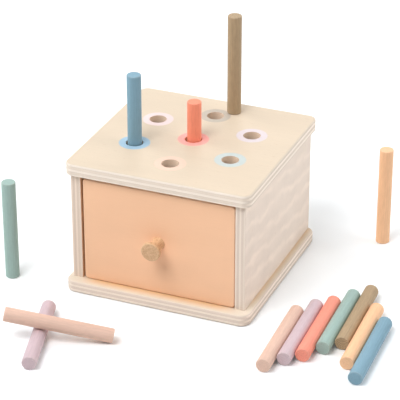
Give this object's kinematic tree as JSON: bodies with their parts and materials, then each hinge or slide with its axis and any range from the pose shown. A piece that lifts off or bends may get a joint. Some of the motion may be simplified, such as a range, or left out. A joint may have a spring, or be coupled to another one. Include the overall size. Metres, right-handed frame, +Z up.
{
  "type": "object permanence box",
  "caption": "Plywood object permanence box whose painted sticks drop through holes in the top board into a pull-out drawer with a turned knob.",
  "frame": {"origin": "on the floor under the middle of the top board", "axes": "+Z up, -Y towards the drawer's front, +X to the right as seen by someone facing the drawer"},
  "size_m": [0.3395, 0.3184, 0.209],
  "materials": {
    "birch_ply": "bare birch plywood, fine sanded, clear matt finish",
    "beech": "turned beech, fine sanded, clear matt finish",
    "steel": "zinc plated wood screw",
    "apricot_paint": "plywood with matt apricot paint",
    "blue_paint": "birch dowel with matt blue paint",
    "coral_paint": "birch dowel with matt coral paint",
    "brown_paint": "birch dowel with matt brown paint",
    "green_paint": "birch dowel with matt green paint",
    "orange_paint": "birch dowel with matt orange paint",
    "lilac_paint": "birch dowel with matt lilac paint",
    "peach_paint": "birch dowel with matt peach paint"
  },
  "bodies": {
    "case": {"top_board": "birch_ply", "base_board": "birch_ply", "left_side": "birch_ply", "right_side": "birch_ply", "back_panel": "birch_ply", "top_dowels": "beech", "base_screws": "steel"},
    "drawer": {"drawer_front": "apricot_paint", "drawer_left_wall": "birch_ply", "drawer_right_wall": "birch_ply", "drawer_rear_wall": "birch_ply", "drawer_floor": "birch_ply", "drawer_dowels": "beech", "knob": "beech", "knob_screw": "steel"},
    "blue_stick_in_hole": {"blue_stick_in_hole": "blue_paint"},
    "coral_stick_in_hole": {"coral_stick_in_hole": "coral_paint"},
    "brown_stick_on_top": {"brown_stick_on_top": "brown_paint"},
    "green_stick_upright": {"green_stick_upright": "green_paint"},
    "orange_stick_upright": {"orange_stick_upright": "orange_paint"},
    "lilac_stick_laid": {"lilac_stick_laid": "lilac_paint"},
    "peach_stick_leaning": {"peach_stick_leaning": "peach_paint"},
    "peach_stick_in_row": {"peach_stick_in_row": "peach_paint"},
    "lilac_stick_in_row": {"lilac_stick_in_row": "lilac_paint"},
    "coral_stick_in_row": {"coral_stick_in_row": "coral_paint"},
    "green_stick_in_row": {"green_stick_in_row": "green_paint"},
    "brown_stick_in_row": {"brown_stick_in_row": "brown_paint"},
    "orange_stick_in_row": {"orange_stick_in_row": "orange_paint"},
    "blue_stick_in_row": {"blue_stick_in_row": "blue_paint"}
  },
  "joints": [
    {"name": "drawer_slide", "type": "slide", "parent": "case", "child": "drawer", "axis": [0, -1, 0], "range_m": [0, 0.11]},
    {"name": "blue_stick_in_hole_drop", "type": "slide", "parent": "case", "child": "blue_stick_in_hole", "axis": [0, 0, 1], "range_m": [-0.0719, 0.031]},
    {"name": "coral_stick_in_hole_drop", "type": "slide", "parent": "case", "child": "coral_stick_in_hole", "axis": [0, 0, 1], "range_m": [-0.0444, 0.0585]},
    {"name": "brown_stick_on_top_lift", "type": "slide", "parent": "case", "child": "brown_stick_on_top", "axis": [0, 0, 1], "range_m": [0, 0.05]},
    {"name": "green_stick_upright_lift", "type": "slide", "parent": "case", "child": "green_stick_upright", "axis": [0, 0, 1], "range_m": [0, 0.05]},
    {"name": "orange_stick_upright_lift", "type": "slide", "parent": "case", "child": "orange_stick_upright", "axis": [0, 0, 1], "range_m": [0, 0.05]},
    {"name": "lilac_stick_laid_push", "type": "slide", "parent": "case", "child": "lilac_stick_laid", "axis": [0, -1, 0], "range_m": [0, 0.055]},
    {"name": "peach_stick_leaning_lift", "type": "slide", "parent": "lilac_stick_laid", "child": "peach_stick_leaning", "axis": [0, 0, 1], "range_m": [0, 0.05]},
    {"name": "peach_stick_in_row_lift", "type": "slide", "parent": "case", "child": "peach_stick_in_row", "axis": [0, 0, 1], "range_m": [0, 0.05]},
    {"name": "lilac_stick_in_row_lift", "type": "slide", "parent": "case", "child": "lilac_stick_in_row", "axis": [0, 0, 1], "range_m": [0, 0.05]},
    {"name": "coral_stick_in_row_lift", "type": "slide", "parent": "case", "child": "coral_stick_in_row", "axis": [0, 0, 1], "range_m": [0, 0.05]},
    {"name": "green_stick_in_row_lift", "type": "slide", "parent": "case", "child": "green_stick_in_row", "axis": [0, 0, 1], "range_m": [0, 0.05]},
    {"name": "brown_stick_in_row_lift", "type": "slide", "parent": "case", "child": "brown_stick_in_row", "axis": [0, 0, 1], "range_m": [0, 0.05]},
    {"name": "orange_stick_in_row_lift", "type": "slide", "parent": "case", "child": "orange_stick_in_row", "axis": [0, 0, 1], "range_m": [0, 0.05]},
    {"name": "blue_stick_in_row_lift", "type": "slide", "parent": "case", "child": "blue_stick_in_row", "axis": [0, 0, 1], "range_m": [0, 0.05]}
  ],
  "couplings": [
    {"joint": "lilac_stick_laid_push", "follows": "drawer_slide", "ratio": 0.5}
  ]
}
